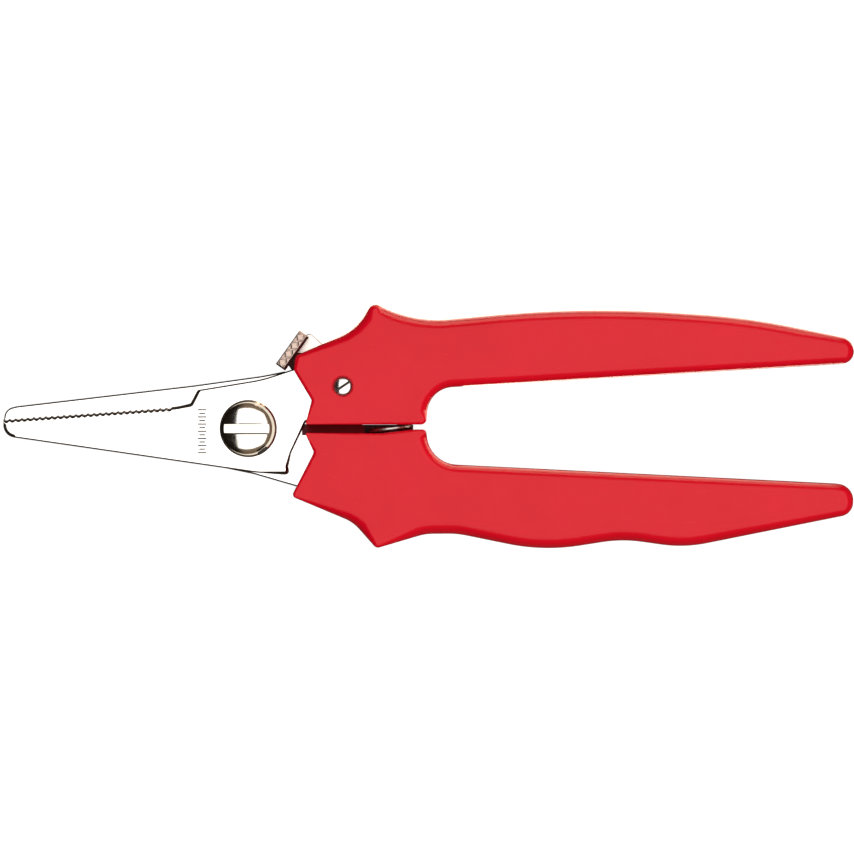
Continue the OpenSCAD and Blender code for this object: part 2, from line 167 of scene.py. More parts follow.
BACK_HEEL = [
    (10.8, -12.9, 3, BREAK), (1.5, -10.2, 20, BREAK), (-11, -7.6, 0.8, BREAK),
    (-12.6, 3.3, 1, BREAK), (*HIDDEN_ROOT, 5, 0), (*HIDDEN_TIP, 0.3, 0),
]
LIP_X1 = 37.2            # where the lip behind the spring ends
GAP_Y = (-1.6, 0.86)     # the room of the mouldings in the gap
LATCH_PLATE = [
    (8.8, 14.8, 0.2, 0.15), (13.4, 21.1, 0.3, 0.15), (14.3, 21.2, 0.4, 0.15),
    (16.9, 18.9, 1.0, 0.2), (24.8, 12.0, 3.5, 0.2), (20, 5.6, 3.5, 0.15),
    (10.5, 12.4, 0.5, 0.15),
]
MOUTH_SLOT = [(12, -1), (12, 6.1), (13.9, 6.1), (17.6, 3.2), (28, 2.4), (28, -1)]
LATCH_CAVITY = [(19.03, 5.95), (7.65, 14.1), (8, 24), (26.5, 24), (25.2, 10.5)]
CAVITY_END_D = 9.2   # round the latch's pivot
SLOT_ROOM = 0.3      # free room beside a moving piece
LAYER_LAP = 0.05     # how far neighbouring cuts overlap
PAST = 1.0           # how far a cutter reaches past the material

# Meshes ------------------------------------------------------------------------------------------
FINE_TURN = math.radians(2.5)    # longest step round a corner, as an angle
FINE_CHORD = 1.5                 # and as a length
SHARP = math.radians(32)         # edges above this angle stay sharp


def rounded(corners):
    """Points round a list of corners, each with its outward normal and its edge value."""
    out = []
    for i, (x, y, radius, edge) in enumerate(corners):
        before, after = corners[i - 1], corners[(i + 1) % len(corners)]
        d1 = Vector((x - before[0], y - before[1])).normalized()
        d2 = Vector((after[0] - x, after[1] - y)).normalized()
        n1 = Vector((-d1.y, d1.x))
        if radius == 0:
            out.append((Vector((x, y)), n1, edge))
            continue
        turn = math.atan2(d1.x * d2.y - d1.y * d2.x, d1.dot(d2))
        side = 1 if turn < 0 else -1
        centre = Vector((x, y)) - d1 * radius * math.tan(abs(turn) / 2) - side * radius * n1
        steps = max(1, math.ceil(abs(turn) / FINE_TURN), math.ceil(radius * abs(turn) / FINE_CHORD))
        for k in range(steps + 1):
            n = Matrix.Rotation(turn * k / steps, 2) @ n1
            out.append((centre + side * radius * n, n, edge))
    return out


def outline_xy(corners):
    return [p for p, _, _ in rounded(corners)]


def sharp(corner):
    """The same corner without its radius and edge."""
    return (*corner[:2], 0, 0)


def new_object(name, bm):
    """A scene object from a bmesh, with its loose doubles merged and its faces turned outwards."""
    bmesh.ops.remove_doubles(bm, verts=bm.verts, dist=1e-4)
    bmesh.ops.dissolve_degenerate(bm, edges=bm.edges, dist=1e-5)
    bmesh.ops.recalc_face_normals(bm, faces=bm.faces)
    mesh = bpy.data.meshes.new(name)
    bm.to_mesh(mesh)
    bm.free()
    obj = bpy.data.objects.new(name, mesh)
    bpy.context.scene.collection.objects.link(obj)
    return obj


def skin(name, rings, closed=False):
    """A closed mesh over a stack of rings, with a cap at each end or its last ring joined to its first."""
    bm = bmesh.new()
    loops = [[bm.verts.new(p) for p in ring] for ring in rings]
    pairs = list(zip(loops, loops[1:]))
    if closed:
        pairs.append((loops[-1], loops[0]))
    else:
        bm.faces.new(loops[0])
        bm.faces.new(loops[-1][::-1])
    for low, high in pairs:
        for i in range(len(low)):
            k = (i + 1) % len(low)
            bm.faces.new((low[i], high[i], high[k], low[k]))
    return new_object(name, bm)


def prism(name, points, z0, z1):
    return skin(name, [[(x, y, z) for x, y in points] for z in (z0, z1)])


def circle(radius, z, centre=(0, 0), sides=96):
    return [
        (centre[0] + radius * math.cos(-a), centre[1] + radius * math.sin(-a), z)
        for a in (2 * math.pi * i / sides for i in range(sides))
    ]


def lathe(name, profile, centre=(0, 0), sides=96):
    """A turned piece from (radius, height) points, from the bottom up."""
    return skin(name, [circle(r, z, centre, sides) for r, z in profile])


def drill(diameter, z0, z1, centre=(0, 0), sides=96):
    """A plain cylinder for cutting."""
    return lathe("drill", [(diameter / 2, z0), (diameter / 2, z1)], centre, sides)


def arc(centre, radius, start, end, steps=8):
    """(radius, height) points of an arc, with its angles in degrees."""
    out = []
    for k in range(steps + 1):
        a = math.radians(start + (end - start) * k / steps)
        out.append((centre[0] + radius * math.cos(a), centre[1] + radius * math.sin(a)))
    return out


def block(name, low, high, turn=0, centre=(0, 0)):
    """A box for cutting, turned by some degrees about a vertical line through centre."""
    m = Matrix.Translation((*centre, 0)) @ Matrix.Rotation(math.radians(turn), 4, "Z")
    rings = []
    for z in (low[2], high[2]):
        flat = [(low[0], low[1]), (low[0], high[1]), (high[0], high[1]), (high[0], low[1])]
        rings.append([m @ Vector((x, y, z)) for x, y in flat])
    return skin(name, rings)


def apply_modifiers(obj):
    bpy.context.view_layer.update()
    graph = bpy.context.evaluated_depsgraph_get()
    mesh = bpy.data.meshes.new_from_object(obj.evaluated_get(graph), depsgraph=graph)
    obj.modifiers.clear()
    obj.data = mesh


def combine(obj, *tools, operation="DIFFERENCE"):
    """Cuts the tools out of obj, or joins them to it, and removes them."""
    for tool in tools:
        m = obj.modifiers.new("combine", "BOOLEAN")
        m.operation = operation
        m.solver = "EXACT"
        m.object = tool
    apply_modifiers(obj)
    for tool in tools:
        bpy.data.objects.remove(tool)


def soften(obj, width, segments):
    """Rounds the sharp edges of a piece."""
    m = obj.modifiers.new("soften", "BEVEL")
    m.width = width
    m.segments = segments
    m.limit_method = "ANGLE"
    m.angle_limit = math.radians(40)
    m.use_clamp_overlap = True
    apply_modifiers(obj)


def shade(obj, material, sharp_angle=SHARP):
    """Gives a mesh its material, and smooth shading between its sharp edges."""
    obj.data.materials.clear()
    obj.data.materials.append(material)
    for face in obj.data.polygons:
        face.use_smooth = True
    obj.data.set_sharp_from_angle(angle=sharp_angle)


def dress(obj, body, material, node):
    """Moves a mesh into the frame, gives it its finish and its body, and hides the CAD node it replaces.
    """
    obj.data.transform(to_frame)
    shade(obj, material)
    weigh = obj.modifiers.new("normals", "WEIGHTED_NORMAL")
    weigh.keep_sharp = True
    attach(obj, body)
    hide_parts(node)


# Materials ---------------------------------------------------------------------------------------
class Finish:
    """A node material made of a few named steps."""

    def __init__(self, name, **settings):
        self.material = bpy.data.materials.new(name)
        self.material.use_nodes = True
        self.tree = self.material.node_tree
        self.shader = self.tree.nodes["Principled BSDF"]
        for key, value in settings.items():
            self.shader.inputs[key.replace("_", " ")].default_value = value
        self.place = self.add("ShaderNodeTexCoord").outputs["Object"]

    def add(self, kind, **settings):
        node = self.tree.nodes.new(kind)
        for key, value in settings.items():
            setattr(node, key, value)
        return node

    def feed(self, socket, value):
        if isinstance(value, bpy.types.NodeSocket):
            self.tree.links.new(value, socket)
        else:
            socket.default_value = value

    def stretched(self, scale, turn=(0, 0, 0)):
        """The place on the object, turned and scaled, for stretched patterns."""
        node = self.add("ShaderNodeMapping")
        self.feed(node.inputs["Vector"], self.place)
        self.feed(node.inputs["Rotation"], turn)
        self.feed(node.inputs["Scale"], scale)
        return node.outputs["Vector"]

    def noise(self, scale, detail=3.0, rough=0.5, place=None):
        node = self.add("ShaderNodeTexNoise")
        self.feed(node.inputs["Vector"], self.place if place is None else place)
        self.feed(node.inputs["Scale"], scale)
        self.feed(node.inputs["Detail"], detail)
        self.feed(node.inputs["Roughness"], rough)
        return node.outputs["Fac"]

    def spread(self, value, low, high, start=0.3, end=0.7):
        """Spreads a pattern's values between two numbers."""
        node = self.add("ShaderNodeMapRange")
        self.feed(node.inputs["Value"], value)
        self.feed(node.inputs["From Min"], start)
        self.feed(node.inputs["From Max"], end)
        self.feed(node.inputs["To Min"], low)
        self.feed(node.inputs["To Max"], high)
        return node.outputs["Result"]

    def math(self, operation, a, b=0.0):
        node = self.add("ShaderNodeMath", operation=operation)
        self.feed(node.inputs[0], a)
        self.feed(node.inputs[1], b)
        return node.outputs["Value"]

    def between(self, share, a, b):
        """A colour between two colours."""
        node = self.add("ShaderNodeMix", data_type="RGBA")
        colours = [s for s in node.inputs if s.type == "RGBA"]
        self.feed(node.inputs[0], share)
        self.feed(colours[0], a if isinstance(a, bpy.types.NodeSocket) else (*a, 1))
        self.feed(colours[1], b if isinstance(b, bpy.types.NodeSocket) else (*b, 1))
        return [s for s in node.outputs if s.type == "RGBA"][0]

    def colour(self, value):
        self.feed(self.shader.inputs["Base Color"], value)

    def roughness(self, value):
        self.feed(self.shader.inputs["Roughness"], value)

    def current(self, name):
        """What feeds one of the shader's inputs so far."""
        return self.shader.inputs[name].links[0].from_socket

    def drawn_at(self, axis):
        """The place along an axis, in millimetres as drawn."""
        parts = self.add("ShaderNodeSeparateXYZ")
        self.feed(parts.inputs[0], self.place)
        start = {"X": pivot.x, "Y": pivot.y, "Z": 0}[axis]
        return self.math("MULTIPLY", self.math("SUBTRACT", parts.outputs[axis], start), 1 / MM)

    def near(self, value, target, reach):
        """1 where a value is less than reach away from a target, and 0 elsewhere."""
        off = self.math("ABSOLUTE", self.math("SUBTRACT", value, target))
        return self.math("LESS_THAN", off, reach)

    def all_of(self, *masks):
        """1 where every mask is 1."""
        share = masks[0]
        for mask in masks[1:]:
            share = self.math("MULTIPLY", share, mask)
        return share

    def within(self, low, high):
        """1 inside a box between two drawn points, and 0 outside it."""
        return self.all_of(*(
            self.near(self.drawn_at(axis), (a + b) / 2, (b - a) / 2)
            for axis, a, b in zip("XYZ", low, high)
        ))

    def steepness(self, start, end):
        """0 on faces that lie flat, and 1 on those whose normal's height is below end."""
        up = self.add("ShaderNodeSeparateXYZ")
        self.feed(up.inputs[0], self.add("ShaderNodeNewGeometry").outputs["True Normal"])
        return self.spread(self.math("ABSOLUTE", up.outputs["Z"]), 0, 1, start, end)

    def stain_or_painted_shade(self, share, tint, rougher):
        """Lays a darker, rougher layer over share of the surface: a real stain such as a print, or painted
        shade.
        """
        self.colour(self.between(share, self.current("Base Color"), tint))
        more = self.math("MULTIPLY", share, rougher)
        self.roughness(self.math("ADD", self.current("Roughness"), more))

    def bump(self, height, depth, strength, over=None):
        """Raises the surface by a pattern, in metres, over the bump that is already there, if any."""
        node = self.add("ShaderNodeBump")
        self.feed(node.inputs["Height"], height)
        self.feed(node.inputs["Distance"], depth)
        self.feed(node.inputs["Strength"], strength)
        if over is not None:
            self.feed(node.inputs["Normal"], over)
        self.feed(self.shader.inputs["Normal"], node.outputs["Normal"])
        return node.outputs["Normal"]


# The mouldings in the gap between the grips, which are painted darker as painted shade
GAP_PAINTED_SHADE = ((11, GAP_Y[0] - 0.15, -1), (LIP_X1 + 0.2, GAP_Y[1] + 0.09, 9))


def grip_red():
    """Glossy moulded plastic with a faint orange peel, tone changes, fine hairline scuffs and painted
    shade in the gap between the grips.
    """
    f = Finish("grip_red", IOR=1.46, Specular_IOR_Level=0.27)
    tone = f.spread(f.noise(70, 2), 0, 1)
    f.colour(f.between(tone, (0.94, 0.004, 0.024), (0.89, 0.003, 0.020)))
    scuffs = f.noise(1, 2, 0.6, f.stretched((240, 3200, 600), (0, 0, 0.35)))
    haze = f.spread(f.noise(900, 4), 0.15, 0.23)
    f.roughness(f.math("ADD", haze, f.spread(scuffs, 0, 0.10, 0.60, 0.78)))
    # Painted shade: the mouldings in the gap are tinted deep red
    f.stain_or_painted_shade(f.within(*GAP_PAINTED_SHADE), (0.22, 0.002, 0.006), 0.2)
    peel = f.bump(f.noise(320, 2, 0.4), 0.00003, 0.5)
    f.bump(f.noise(5200, 3), 0.000003, 0.35, peel)
    return f.material


def ground_steel(name, tint, lines, rough=(0.14, 0.26), turn=0.0):
    """Ground steel: fine lines across the piece, with a few deeper ones and faint clouding."""
    f = Finish(name, Metallic=1.0)
    grain = f.noise(1, 4, 0.65, f.stretched(lines, (0, 0, turn)))
    cloud = f.noise(140, 3)
    darker = tuple(0.90 * c for c in tint)
    f.colour(f.between(f.spread(grain, 0, 1, 0.25, 0.6), darker, tint))
    f.roughness(f.math("ADD", f.spread(grain, *rough), f.spread(cloud, -0.02, 0.04)))
    f.bump(grain, 0.000004, 0.35)
    return f


STEEP_FACE_SHADE = (0.16, 0.145, 0.135)     # dark tint painted on steep faces, as painted shade
# The dark tint of the painted shade on the turned and slotted steel
PAINTED_SHADE_TINT = (0.07, 0.06, 0.055)
TICK_COUNT = 13
TICK_STEP = 0.8
TICK_W = 0.28
TICK_X = (-10.9, -9.0)
TICK_Y0 = -5.4
TICK_INSET = 0.3                   # how much every second tick is shorter at each end
TANG_PAINTED_SHADE = ((12.3, -1.5, 0), (40, 1, BACK_Z1 + 0.01))    # painted shade, red-tinted, on the tang in the gap between the grips


def ticks(f):
    """1 on a plain row of etched tick marks on the front blade's face."""
    y = f.drawn_at("Y")
    step = f.math("DIVIDE", f.math("SUBTRACT", y, TICK_Y0), TICK_STEP)
    number = f.math("ROUND", step)
    on_line = f.near(step, number, TICK_W / 2 / TICK_STEP)
    inset = f.math("MULTIPLY", f.math("PINGPONG", number, 1.0), TICK_INSET)
    half = f.math("SUBTRACT", (TICK_X[1] - TICK_X[0]) / 2, inset)
    in_x = f.near(f.drawn_at("X"), sum(TICK_X) / 2, half)
    reach = TICK_STEP * (TICK_COUNT - 1) / 2
    in_y = f.near(y, TICK_Y0 + reach, reach + TICK_W)
    on_face = f.math("GREATER_THAN", f.drawn_at("Z"), FRONT_Z1 - 0.05)
    return f.all_of(on_line, in_x, in_y, on_face)


def blade_steel():
    """The blades' ground steel, with painted shade on its steep edges and on the tang in the gap, and the
    tick marks.
    """
    f = ground_steel("blade_steel", (0.93, 0.925, 0.915), (2600, 60, 60))
    f.stain_or_painted_shade(ticks(f), (0.06, 0.055, 0.055), 0.35)
    # Painted shade: faces that stand steep are tinted dark
    f.stain_or_painted_shade(f.steepness(0.97, 0.9), STEEP_FACE_SHADE, 0.08)
    # Painted shade on the tang in the gap between the grips
    f.stain_or_painted_shade(f.within(*TANG_PAINTED_SHADE), (0.09, 0.02, 0.025), 0.3)
    return f.material


def turned_steel(name, tint, centre, rough=(0.10, 0.2), painted_shade_z=None):
    """Turned and plated steel, with fine rings about a vertical axis and painted shade on its steep faces.

    The last argument gives two heights as drawn: the steel is plain at the first and painted dark, as
    painted shade, at the second.
    """
    f = Finish(name, Metallic=1.0)
    flat = f.add("ShaderNodeVectorMath", operation="MULTIPLY")
    f.feed(flat.inputs[0], f.place)
    f.feed(flat.inputs[1], (1, 1, 0))
    away = f.add("ShaderNodeVectorMath", operation="DISTANCE")
    f.feed(away.inputs[0], flat.outputs["Vector"])
    f.feed(away.inputs[1], (centre.x, centre.y, 0))
    rings = f.add("ShaderNodeTexNoise", noise_dimensions="1D")
    f.feed(rings.inputs["W"], f.math("MULTIPLY", away.outputs["Value"], 9000))
    f.feed(rings.inputs["Scale"], 1.0)
    f.feed(rings.inputs["Detail"], 3.0)
    wear = f.noise(700, 4)
    f.colour(f.between(f.spread(wear, 0, 1), tint, tuple(0.93 * c for c in tint)))
    f.roughness(f.math("ADD", f.spread(rings.outputs["Fac"], *rough), f.spread(wear, -0.02, 0.05)))
    f.bump(rings.outputs["Fac"], 0.000003, 0.3)
    # Painted shade: steep faces are tinted dark
    f.stain_or_painted_shade(f.steepness(0.6, 0.4), PAINTED_SHADE_TINT, 0.2)
    # Painted shade that grows towards one height
    if painted_shade_z is not None:
        height = f.math("ADD", f.drawn_at("Z"), f.math("MULTIPLY", wear, 0.1))
        f.stain_or_painted_shade(f.spread(height, 0, 1, *painted_shade_z), PAINTED_SHADE_TINT, 0.4)
    return f


def drawn_wire():
    """Dull drawn spring wire with fine die marks."""
    f = Finish("spring_steel", Metallic=1.0)
    marks = f.noise(1500, 4)
    f.colour(f.between(f.spread(marks, 0, 1), (0.50, 0.49, 0.48), (0.66, 0.64, 0.62)))
    f.roughness(f.spread(marks, 0.24, 0.40))
    f.bump(marks, 0.000004, 0.4)
    return f.material


def bronze():
    """Turned bearing bronze."""
    f = Finish("bushing_bronze", Metallic=1.0)
    marks = f.noise(1, 3, 0.5, f.stretched((60, 60, 5000)))
    f.colour(f.between(f.spread(marks, 0, 1), (0.72, 0.50, 0.28), (0.58, 0.38, 0.20)))
    f.roughness(f.spread(marks, 0.28, 0.42))
    f.bump(marks, 0.000004, 0.4)
    return f.material


def head_steel():
    """The big screw's plating, with painted shade along both edges of its slot."""
    f = turned_steel("screw_steel", (0.86, 0.82, 0.76), pivot, (0.08, 0.14))
    half = 0.13
    # Painted shade along the slot's edges, stronger on its -Y side
    for x0, x1, y, strength in ((-2.6, 4.7, -SLOT_W / 2, 1.0), (-1.6, 3.4, SLOT_W / 2, 0.45)):
        line = f.within((x0, y - half, 0), (x1, y + half, HANDLE_T))
        f.stain_or_painted_shade(f.math("MULTIPLY", line, strength), PAINTED_SHADE_TINT, 0.3)
    return f.material


def washer_steel():
    """The lock washer's duller steel, with painted shade up its bent tab."""
    painted_shade_z = (HEAD_Z0 + 0.15, HEAD_Z0 + 0.3)
    return turned_steel("washer_steel", (0.52, 0.47, 0.385), pivot, (0.16, 0.24), painted_shade_z).material


def latch_screw_steel():
    """The small screw's plating, with painted shade in its slot."""
    bottom = high_z("latch_screw") - LATCH_SLOT_DEPTH
    painted_shade_z = (bottom + 0.35, bottom + 0.1)
    return turned_steel("latch_screw_steel", (0.84, 0.82, 0.79), latch_pivot, painted_shade_z=painted_shade_z).material


def fastener_steel():
    """The plating of both nuts, with its rings centred on the barrel nut."""
    return turned_steel("fastener_steel", (0.82, 0.80, 0.77), latch_pivot, (0.12, 0.24)).material


# Boxes for warm painted shade on the thumb rest and a painted shadow under the fold
THUMB_REST_PAINTED_SHADE = ((0, 10, TAB_TOP - 0.2), (16, 26, TAB_TOP + 1))
FOLD_PAINTED_SHADOW = ((6, 12, 0), (12.2, 17.0, LATCH_Z1 + 0.3))


def latch_steel():
    """The latch's satin sheet: a duller thumb rest in warm painted shade, painted shade on its bends and
    edges, and a painted shadow under its fold.
    """
    f = ground_steel("latch_steel", (0.84, 0.80, 0.76), (60, 2600, 60), (0.2, 0.32), 0.95)
    # Painted shade, warm, on the thumb rest
    f.stain_or_painted_shade(f.within(*THUMB_REST_PAINTED_SHADE), (0.52, 0.40, 0.345), 0.1)
    # Painted shade: steep faces are tinted dark
    f.stain_or_painted_shade(f.steepness(0.93, 0.8), (0.16, 0.135, 0.12), 0.1)
    # Painted shadow under the fold
    f.stain_or_painted_shade(f.within(*FOLD_PAINTED_SHADOW), (0.10, 0.05, 0.045), 0.3)
    return f.material


RED = grip_red()
BLADE = blade_steel()
HEAD = head_steel()
WASHER = washer_steel()
SMALL_HEAD = latch_screw_steel()
FASTENER = fastener_steel()
LATCH = latch_steel()
WIRE = drawn_wire()
BRONZE = bronze()

# Handles -----------------------------------------------------------------------------------------
RIM_STEPS = 10
GROOVE_W = 0.14      # half the width of the parting line
GROOVE_DEPTH = 0.05


def grip(name, corners):
    """A moulded grip: rounded rims, straight sides and a fine parting line."""
    ring = rounded(corners)
    turns = [math.radians(90 * j / RIM_STEPS) for j in range(RIM_STEPS + 1)]
    levels = [(1 - math.sin(turn), 1 - math.cos(turn)) for turn in turns]
    rings = [
        [(*(p - n * rim * inset), rim * rise) for p, n, rim in ring]
        for inset, rise in levels
    ]
    for z, depth in ((-2, 0), (-1, 0), (0, 1), (1, 0), (2, 0)):
        rings.append([(*(p - n * depth * GROOVE_DEPTH), MID_Z + z * GROOVE_W) for p, n, rim in ring])
    rings += [
        [(*(p - n * rim * inset), HANDLE_T - rim * rise) for p, n, rim in ring]
        for inset, rise in reversed(levels)
    ]
    return skin(name, rings)


spring_low, spring_high = (drawn(p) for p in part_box("opening_spring"))
SPRING_X = (spring_low.x + spring_high.x) / 2
COIL_D = spring_high.z - spring_low.z
POCKET_D = COIL_D + 0.8
POCKET_END = 0.1     # free room past each end of the spring
SCREW_BORE = 2.1
HEAD_BORE = 4.4
BARREL_Z0 = low_z("latch_barrel_nut")
BARREL_HEAD_D = 5.6
BARREL_HEAD_T = 1.2
BARREL_D = 3.4


def on_spring_axis(obj):
    """Lays a turned piece down on the spring's axis, so that its heights run along Y."""
    turn = Matrix.Rotation(math.radians(-90), 4, "X")
    obj.data.transform(Matrix.Translation((SPRING_X, 0, MID_Z)) @ turn)
    return obj


def screw_recess():
    """The recess for the latch's screw head, with a broken rim."""
    half, rim = HEAD_BORE / 2, HEAD_BORE / 2 + 0.25
    profile = [(half, RECESS_Z), (half, HANDLE_T - 0.2), (rim, HANDLE_T + 0.05), (rim, HANDLE_T + PAST)]
    return lathe("recess", profile, LATCH_AT)


def upper_handle():
    top = FRONT_Z0 + LAYER_LAP
    cavity_z0 = LATCH_Z0 - SLOT_ROOM
    tang = outline_xy([sharp(FRONT_BODY[-2]), FRONT_BODY[-1], *FRONT_TANG, sharp(FRONT_HEEL[0])])
    handle = grip("upper_grip", UPPER_GRIP)
    combine(
        handle,
        prism("tang", tang, FRONT_Z0, FRONT_Z1),
        prism("mouth", MOUTH_SLOT, BACK_Z0 - SLOT_ROOM, top),
        prism("cavity", LATCH_CAVITY, cavity_z0, top),
        drill(CAVITY_END_D, cavity_z0, top, LATCH_AT),
        on_spring_axis(drill(POCKET_D, 0, spring_high.y + POCKET_END)),
        screw_recess(),
        drill(SCREW_BORE, FRONT_Z1 - PAST, HANDLE_T, LATCH_AT),
        drill(BARREL_HEAD_D, -PAST, BARREL_Z0 + BARREL_HEAD_T, LATCH_AT),
        drill(BARREL_D, 0, MID_Z, LATCH_AT),
    )
    dress(handle, "upper_arm", RED, "upper_handle")


PEG_D = COIL_D - 3.2
PEG_Y1 = -1.4
PEG_NOSE = 0.6


def guide_peg():
    """The peg inside the spring, with a rounded nose."""
    half = PEG_D / 2
    y0 = spring_low.y - 0.5
    profile = [(half, y0), (half, PEG_Y1 - PEG_NOSE)]
    profile += arc((half - PEG_NOSE, PEG_Y1 - PEG_NOSE), PEG_NOSE, 0, 90)
    return on_spring_axis(lathe("guide_peg", profile))


LEDGE_X = (13.4, SPRING_X - POCKET_D / 2 - SLOT_ROOM)
LEDGE_T = 0.9
LEDGE_EDGE_T = 0.15
LIP_Z = (0.4, 1.4)


def moulding(x0, x1, section):
    """A straight moulding along the gap, from (y, height) points clockwise seen from the handle ends."""
    return skin("moulding", [[(x, y, z) for y, z in section] for x in (x0, x1)])


def gap_ledge():
    """The sloped moulding over the tang, sunk a little into the tang's room."""
    y0, y1 = GAP_Y
    return moulding(*LEDGE_X, [
        (y0, BACK_Z1 - 0.3), (y1, BACK_Z1 - 0.3), (y1, BACK_Z1 + LEDGE_EDGE_T), (y0, BACK_Z1 + LEDGE_T),
    ])


def gap_lip():
    """The lip that closes the gap behind the spring."""
    y0, y1 = GAP_Y
    r = 0.2
    return moulding(LEDGE_X[0], LIP_X1, [
        (y0, LIP_Z[0]), (y1 - r, LIP_Z[0]), (y1, LIP_Z[0] + r), (y1, LIP_Z[1] - r), (y1 - r, LIP_Z[1]),
        (y0, LIP_Z[1]),
    ])


def lower_handle():
    tang = outline_xy([sharp(BACK_BODY[-1]), *BACK_TANG, BACK_HEEL[0], sharp(BACK_HEEL[1])])
    pocket = drill(POCKET_D, spring_low.y - POCKET_END, 1)
    handle = grip("lower_grip", LOWER_GRIP)
    combine(handle, gap_ledge(), gap_lip(), operation="UNION")
    combine(handle, prism("tang", tang, BACK_Z0, BACK_Z1), on_spring_axis(pocket))
    combine(handle, guide_peg(), operation="UNION")
    dress(handle, "lower_arm", RED, "lower_handle")


# Blades ------------------------------------------------------------------------------------------
TOOTH_PITCH = 1.35
TOOTH_DEPTH = 0.3
GULLET = [0.0, 0.35, 0.75, 0.95, 1.0, 0.95, 0.75, 0.35]    # its depth at even steps along a tooth
LAND = 0.35              # the flat left below a bevel
BEVEL_W = 1.0            # width of the bevel in the gullets
BEVEL_CREST_W = 0.65     # and between them
BEVEL_FACE = 0.58        # width of its 45-degree upper part
BUSHING_D = 7.0


def tooth_rows():
    """The saw edge: its points, and the points of the straight line where the bevel ends."""
    along = (EDGE_ROOT - EDGE_TIP).normalized()
    inwards = -Vector((-along.y, along.x))
    count = math.floor((EDGE_ROOT - EDGE_TIP).length / TOOTH_PITCH)
    out = []
    for i in range(count):
        for k, depth in enumerate(GULLET):
            p = EDGE_TIP + along * TOOTH_PITCH * (i + k / len(GULLET))
            width = BEVEL_CREST_W + depth * (BEVEL_W - BEVEL_CREST_W)
            out.append((p + inwards * depth * TOOTH_DEPTH, p + inwards * width))
    return out


def broken_edge(p, n, gap, z0, z1):
    """Four points up a plate's edge at p, both of whose corners are broken by gap."""
    inner = p - n * gap
    return [(*inner, z0), (*p, z0 + gap), (*p, z1 - gap), (*inner, z1)]


def toothed_edge(edge, line):
    """Four points up the saw edge: a short land, a steep part and the bevel's 45-degree part."""
    shoulder = line + (edge - line).normalized() * BEVEL_FACE
    return [
        (*edge, FRONT_Z0), (*edge, FRONT_Z0 + LAND), (*shoulder, FRONT_Z1 - BEVEL_FACE), (*line, FRONT_Z1)
    ]


def front_blade():
    body = rounded(FRONT_BODY + FRONT_TANG + FRONT_HEEL + [(*EDGE_TIP, 0, 0)])[:-1]
    columns = [toothed_edge(edge, line) for edge, line in tooth_rows()]
    columns += [broken_edge(p, n, gap, FRONT_Z0, FRONT_Z1) for p, n, gap in body]
    blade = skin("toothed_blade", list(zip(*columns)))
    combine(
        blade,
        drill(BUSHING_D, FRONT_Z0 - PAST, FRONT_Z1 + PAST),
        drill(SCREW_BORE, FRONT_Z0 - PAST, FRONT_Z1 + PAST, LATCH_AT),
    )
    dress(blade, "upper_arm", BLADE, "front_blade")


def wedge(a, b, edge_z, face_z):
    """What the grinding takes off a cutting edge from a to b."""
    over = face_z + math.copysign(PAST, face_z - edge_z)
    along = (b - a).normalized()
    out = Vector((-along.y, along.x))
    profile = [(0, edge_z), (PAST, edge_z), (PAST, over), (-BEVEL_W, over), (-BEVEL_W, face_z)]
    return skin("wedge", [[(*(p + out * u), z) for u, z in profile] for p in (a, b)])


def plate(name, corners, z0, z1):
    """A flat piece whose edges are broken by each corner's own value."""
    columns = [broken_edge(p, n, gap, z0, z1) for p, n, gap in rounded(corners)]
    return skin(name, list(zip(*columns)))


def back_blade():
    blade = plate("plain_blade", BACK_BODY + BACK_TANG + BACK_HEEL, BACK_Z0, BACK_Z1)
    combine(
        blade,
        wedge(HIDDEN_ROOT, HIDDEN_TIP, BACK_Z1 - LAND, BACK_Z0),
        drill(BUSHING_D + 2 * RUNNING_ROOM, BACK_Z0 - PAST, BACK_Z1 + PAST),
    )
    dress(blade, "lower_arm", BLADE, "back_blade")


# Pivot -------------------------------------------------------------------------------------------
HEAD_D = 11.4
SHANK_D = 6.0
HEAD_Z1 = high_z("pivot_screw")
DOME_R = 13.3
RIM_R = 4.9
RIM_W = 1.2
SLOT_DEPTH = 1.0
SLOT_DRAFT = 0.2


def domed_profile(d, z0, z1, dome_r, rim_r, rim_w):
    """Profile of a screw head from its seat up: a chamfer, a rounded rim of width rim_w and a dome."""
    half = d / 2
    lean = math.asin((half - rim_w) / dome_r)
    centre = ((dome_r - rim_r) * math.sin(lean), z1 - dome_r + (dome_r - rim_r) * math.cos(lean))
    start = math.degrees(math.acos(min(1, (half - centre[0]) / rim_r)))
    lean = math.degrees(lean)
    profile = [(half - 0.1, z0), (half, z0 + 0.1)]
    profile += arc(centre, rim_r, start, 90 - lean, 8)
    profile += arc((0, z1 - dome_r), dome_r, 90 - lean, 89, 14)[1:]
    return profile


def slot_cutter(width, length, depth, draft, z1, turn=0, centre=(0, 0)):
    """A slot of some width at the height z1, whose walls lean by the draft."""
    half = width / 2
    section = [(half - draft, z1 - depth), (half + draft * PAST / depth, z1 + PAST)]
    section += [(-y, z) for y, z in reversed(section)]
    slot = skin("slot", [[(x, y, z) for y, z in section] for x in (-length, length)])
    slot.data.transform(Matrix.Translation((*centre, 0)) @ Matrix.Rotation(math.radians(turn), 4, "Z"))
    return slot


def pivot_screw():
    bottom = low_z("pivot_screw")
    half = SHANK_D / 2
    profile = [(half - 0.35, bottom), (half, bottom + 0.35), (half, HEAD_Z0)]
    profile += domed_profile(HEAD_D, HEAD_Z0, HEAD_Z1, DOME_R, RIM_R, RIM_W)
    screw = lathe("slotted_screw", profile)
    combine(screw, slot_cutter(SLOT_W, HEAD_D, SLOT_DEPTH, SLOT_DRAFT, HEAD_Z1))
    dress(screw, "upper_arm", HEAD, "pivot_screw")


